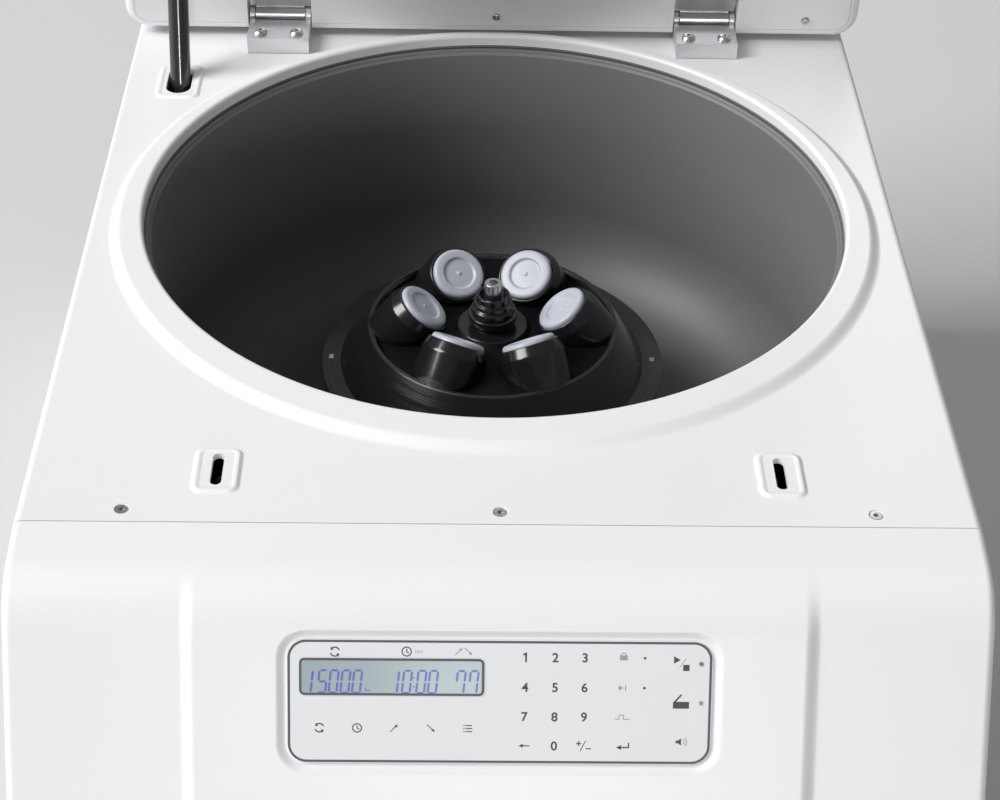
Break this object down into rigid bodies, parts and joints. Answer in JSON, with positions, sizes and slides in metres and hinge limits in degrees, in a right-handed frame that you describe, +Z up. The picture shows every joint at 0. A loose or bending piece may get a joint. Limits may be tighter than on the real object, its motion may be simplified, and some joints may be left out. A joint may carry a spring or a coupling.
{
  "type": "refrigerated bench centrifuge",
  "caption": "Refrigerated bench centrifuge with its lid open, showing a deep round bowl and a fixed-angle rotor holding capped tubes; keypad and display on a sloping front.",
  "frame": {"origin": "on the bench top, under the middle of the footprint", "axes": "+X to the operator's right, +Y to the rear, +Z up; the control panel faces -Y"},
  "size_m": [0.554, 0.776, 0.9138],
  "materials": {
    "white_paint": "white powder coat, satin gloss",
    "white_moulding": "white moulding, satin gloss",
    "white_liner": "white moulding, matt",
    "sheet": "zinc-coated sheet",
    "steel": "bright steel",
    "chrome": "polished rod",
    "light_alloy": "fine brushed",
    "bowl_coating": "dark grey satin coating",
    "rubber": "matt black",
    "foam": "black closed-cell foam",
    "black_anodised": "black anodised, glossy",
    "dark_casting": "black lacquer",
    "dark_plastic": "black moulding",
    "tube_plastic": "milky tube",
    "cap_plastic": "milky white cap",
    "foil_film": "fine-textured film",
    "display": "display window",
    "black_tube": "black lacquer, glossy"
  },
  "bodies": {
    "housing": {"base_pan": "sheet", "side_panel_left": "white_paint", "side_panel_right": "white_paint", "rear_panel": "white_paint", "top_deck": "white_paint", "front_panel": "white_moulding", "control_foil": "foil_film", "display_window": "display", "mains_inlet": "dark_plastic", "foot_1": "rubber", "foot_2": "rubber", "foot_3": "rubber", "foot_4": "rubber", "bowl": "bowl_coating", "bowl_gasket": "rubber", "bowl_insulation": "foam", "drive_motor": "dark_casting", "motor_mount": "sheet", "hinge_block_left": "light_alloy", "hinge_block_right": "light_alloy", "hinge_pin_left": "steel", "hinge_pin_right": "steel", "latch_bearing_left": "dark_plastic", "latch_bearing_right": "dark_plastic", "lock_motor": "dark_plastic", "compressor": "dark_casting", "condenser": "light_alloy", "fan_motor": "steel", "gas_spring_stud": "steel", "deck_screw_1": "steel", "deck_screw_2": "steel", "deck_screw_3": "steel"},
    "lid": {"lid_shell": "white_moulding", "lid_liner": "white_liner", "lid_striker_left": "steel", "lid_striker_right": "steel", "hinge_leaf_left": "steel", "hinge_leaf_right": "steel", "gas_spring_bracket": "steel"},
    "spring_tube": {"gas_spring_tube": "black_tube"},
    "spring_rod": {"gas_spring_rod": "chrome"},
    "drive": {"drive_shaft": "steel"},
    "rotor": {"rotor_body": "black_anodised"},
    "rotor_fastener": {"rotor_nut": "black_anodised", "rotor_bolt": "steel"},
    "latch": {"latch_shaft": "steel"},
    "rocker": {"mains_rocker": "dark_plastic"},
    "fan": {"fan_wheel": "dark_plastic"},
    "tube_1": {"tube_1": "tube_plastic"},
    "cap_1": {"tube_cap_1": "cap_plastic"},
    "tube_2": {"tube_2": "tube_plastic"},
    "cap_2": {"tube_cap_2": "cap_plastic"},
    "tube_3": {"tube_3": "tube_plastic"},
    "cap_3": {"tube_cap_3": "cap_plastic"},
    "tube_4": {"tube_4": "tube_plastic"},
    "cap_4": {"tube_cap_4": "cap_plastic"},
    "tube_5": {"tube_5": "tube_plastic"},
    "cap_5": {"tube_cap_5": "cap_plastic"},
    "tube_6": {"tube_6": "tube_plastic"},
    "cap_6": {"tube_cap_6": "cap_plastic"}
  },
  "joints": [
    {"name": "lid_hinge", "type": "hinge", "parent": "housing", "child": "lid", "pos_m": [0, 0.29996, 0.3455], "axis": [-1, 0, 0], "range_deg": [-80, 0], "stiffness_Nm_per_rad": 8, "springref_deg": 57.3},
    {"name": "spring_pivot", "type": "hinge", "parent": "lid", "child": "spring_tube", "pos_m": [-0.23, 0.25038, 0.40784], "axis": [-1, 0, 0], "range_deg": [0, 80]},
    {"name": "spring_slide", "type": "slide", "parent": "spring_tube", "child": "spring_rod", "axis": [0, 0.3051, 0.9523], "range_m": [0, 0.104]},
    {"name": "drive_spin", "type": "hinge", "parent": "housing", "child": "drive", "pos_m": [0, 0.05496, 0.33], "axis": [0, 0, 1], "continuous": true},
    {"name": "rotor_lift", "type": "slide", "parent": "drive", "child": "rotor", "axis": [0, 0, 1], "range_m": [0, 0.25]},
    {"name": "nut_turn", "type": "hinge", "parent": "rotor", "child": "rotor_fastener", "pos_m": [0, 0.05496, 0.33], "axis": [0, 0, 1], "continuous": true},
    {"name": "tube_lift_1", "type": "slide", "parent": "rotor", "child": "tube_1", "axis": [-0.6018, 0, 0.7986], "range_m": [0, 0.24]},
    {"name": "cap_pull_1", "type": "slide", "parent": "tube_1", "child": "cap_1", "axis": [-0.6018, 0, 0.7986], "range_m": [0, 0.03]},
    {"name": "tube_lift_2", "type": "slide", "parent": "rotor", "child": "tube_2", "axis": [-0.3009, -0.5212, 0.7986], "range_m": [0, 0.24]},
    {"name": "cap_pull_2", "type": "slide", "parent": "tube_2", "child": "cap_2", "axis": [-0.3009, -0.5212, 0.7986], "range_m": [0, 0.03]},
    {"name": "tube_lift_3", "type": "slide", "parent": "rotor", "child": "tube_3", "axis": [0.3009, -0.5212, 0.7986], "range_m": [0, 0.24]},
    {"name": "cap_pull_3", "type": "slide", "parent": "tube_3", "child": "cap_3", "axis": [0.3009, -0.5212, 0.7986], "range_m": [0, 0.03]},
    {"name": "tube_lift_4", "type": "slide", "parent": "rotor", "child": "tube_4", "axis": [0.6018, 0, 0.7986], "range_m": [0, 0.24]},
    {"name": "cap_pull_4", "type": "slide", "parent": "tube_4", "child": "cap_4", "axis": [0.6018, 0, 0.7986], "range_m": [0, 0.03]},
    {"name": "tube_lift_5", "type": "slide", "parent": "rotor", "child": "tube_5", "axis": [0.3009, 0.5212, 0.7986], "range_m": [0, 0.24]},
    {"name": "cap_pull_5", "type": "slide", "parent": "tube_5", "child": "cap_5", "axis": [0.3009, 0.5212, 0.7986], "range_m": [0, 0.03]},
    {"name": "tube_lift_6", "type": "slide", "parent": "rotor", "child": "tube_6", "axis": [-0.3009, 0.5212, 0.7986], "range_m": [0, 0.24]},
    {"name": "cap_pull_6", "type": "slide", "parent": "tube_6", "child": "cap_6", "axis": [-0.3009, 0.5212, 0.7986], "range_m": [0, 0.03]},
    {"name": "latch_turn", "type": "hinge", "parent": "housing", "child": "latch", "pos_m": [0, -0.20204, 0.286], "axis": [1, 0, 0], "range_deg": [0, 25]},
    {"name": "rocker_tilt", "type": "hinge", "parent": "housing", "child": "rocker", "pos_m": [0.03, 0.38076, 0.0975], "axis": [0, 0, 1], "range_deg": [0, 20]},
    {"name": "fan_spin", "type": "hinge", "parent": "housing", "child": "fan", "pos_m": [0.172, 0.35296, 0.112], "axis": [0, 1, 0], "continuous": true}
  ],
  "couplings": [
    {"joint": "spring_pivot", "follows": "lid_hinge", "ratio": -1},
    {"joint": "spring_slide", "follows": "lid_hinge", "m_per_rad": -0.0743}
  ]
}
